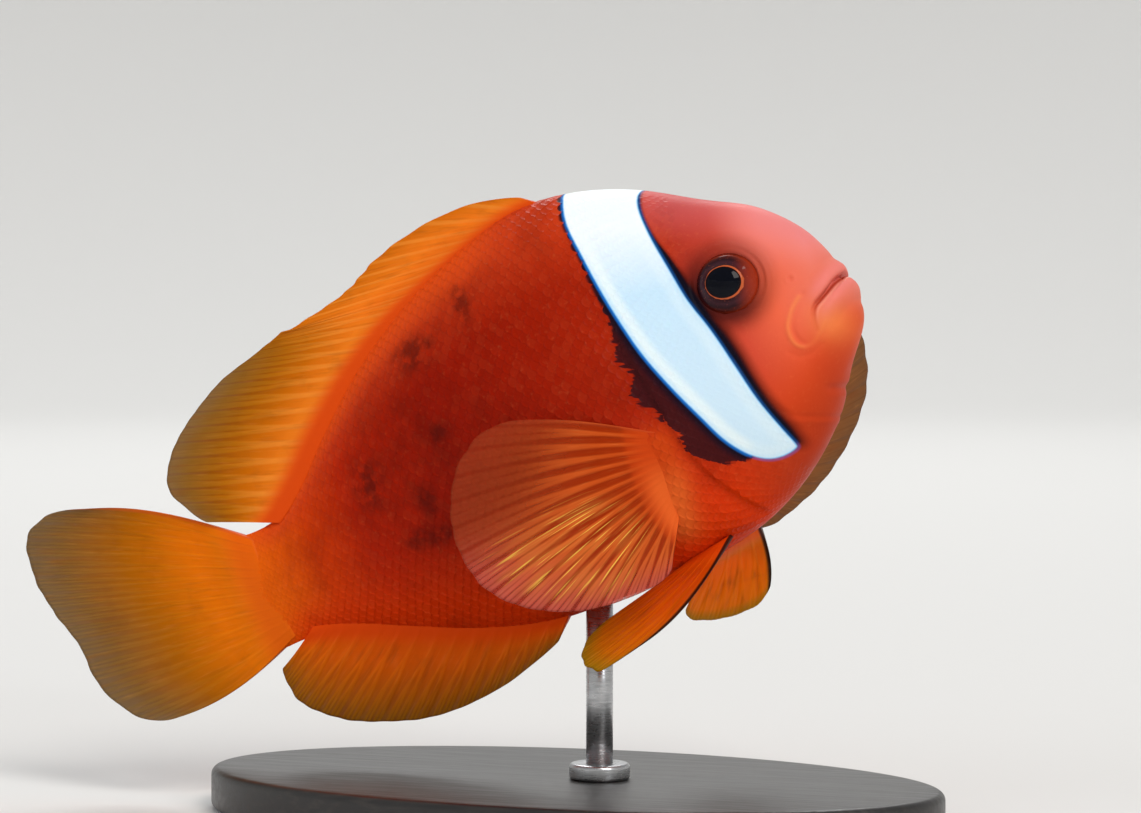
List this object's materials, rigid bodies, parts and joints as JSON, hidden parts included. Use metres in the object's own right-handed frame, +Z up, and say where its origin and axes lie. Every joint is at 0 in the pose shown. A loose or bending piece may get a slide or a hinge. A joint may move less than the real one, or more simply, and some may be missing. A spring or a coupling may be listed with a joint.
{
  "type": "tomato clownfish display model",
  "caption": "Life-size tomato clownfish, deep-bodied with rounded fins spread, swimming nose-up on a short steel rod above a flat oval base.",
  "frame": {"origin": "middle of the stand base's underside", "axes": "+Z up, +X towards the way the fish heads, +Y to its left"},
  "size_m": [0.1112, 0.0507, 0.0708],
  "materials": {
    "skin": "wet red-orange scaled skin with a white head bar edged in black",
    "fin": "thin rayed orange membrane, a little see-through at the margin",
    "eye": "wet clear cornea over a dark brown iris with an orange ring",
    "stand_base": "black-stained, satin lacquered",
    "stand_rod": "fine brushed"
  },
  "bodies": {
    "root": {"head": "skin", "lower_jaw": "skin", "gill_cover_left": "skin", "gill_cover_right": "skin", "trunk": "skin", "tail_stalk": "skin", "eye_left": "eye", "eye_right": "eye", "dorsal_fin_spiny": "fin", "dorsal_fin_soft": "fin", "anal_fin": "fin", "caudal_fin": "fin", "pectoral_fin_right": "fin", "pectoral_fin_left": "fin", "pelvic_fin_right": "fin", "pelvic_fin_left": "fin", "stand_base": "stand_base", "stand_rod": "stand_rod", "stand_collar": "stand_rod"}
  },
  "joints": []
}
